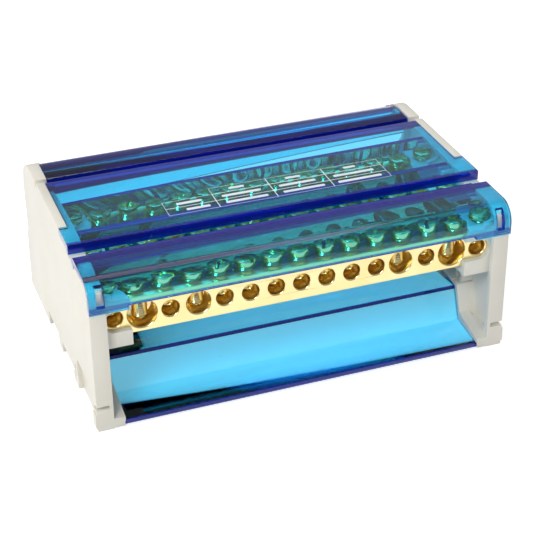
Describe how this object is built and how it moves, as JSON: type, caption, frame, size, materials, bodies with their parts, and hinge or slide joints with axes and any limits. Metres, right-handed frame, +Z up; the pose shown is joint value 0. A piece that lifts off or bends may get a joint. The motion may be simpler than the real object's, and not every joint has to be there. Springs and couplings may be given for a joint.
{
  "type": "power distribution block",
  "caption": "Rail-mounted distribution block: brass terminal bars stepped in rows between two plastic end plates, under transparent hinged covers.",
  "frame": {"origin": "middle of the block's footprint, on the ground plane the foot stands on", "axes": "+X to the right along the bars, +Y from the front cover towards the back, +Z up away from the rail"},
  "size_m": [0.1322, 0.092, 0.051],
  "materials": {
    "ivory": "fine satin, moulded polyamide",
    "blue_cover": "transparent blue polycarbonate, polished, extruded",
    "blue_back": "transparent blue polycarbonate, polished, extruded",
    "blue_barrier": "transparent blue polycarbonate, polished, cut edges",
    "blue_tray": "transparent blue polycarbonate, polished, extruded",
    "brass_bar": "drawn brass, milled holes",
    "brass_screw": "turned brass, satin"
  },
  "bodies": {
    "block": {"left_plate": "ivory", "right_plate": "ivory", "tray": "blue_tray", "front_barrier": "blue_barrier", "middle_barrier": "blue_barrier", "rear_barrier": "blue_barrier", "back_profile": "blue_back", "front_bar": "brass_bar", "second_bar": "brass_bar", "third_bar": "brass_bar", "rear_bar": "brass_bar", "front_small_screws": "brass_screw", "front_medium_screws": "brass_screw", "front_large_screws": "brass_screw", "second_small_screws": "brass_screw", "second_medium_screws": "brass_screw", "second_large_screws": "brass_screw", "third_small_screws": "brass_screw", "third_medium_screws": "brass_screw", "third_large_screws": "brass_screw", "rear_small_screws": "brass_screw", "rear_medium_screws": "brass_screw", "rear_large_screws": "brass_screw"},
    "front_lid": {"front_cover": "blue_cover"},
    "upper_lid": {"upper_cover": "blue_cover"}
  },
  "joints": [
    {"name": "front_cover_hinge", "type": "hinge", "parent": "block", "child": "front_lid", "pos_m": [0, -0.0285, 0.0479], "axis": [-1, 0, 0], "range_deg": [0, 90]},
    {"name": "upper_cover_hinge", "type": "hinge", "parent": "block", "child": "upper_lid", "pos_m": [0, 0.0171, 0.0489], "axis": [-1, 0, 0], "range_deg": [0, 105]}
  ]
}
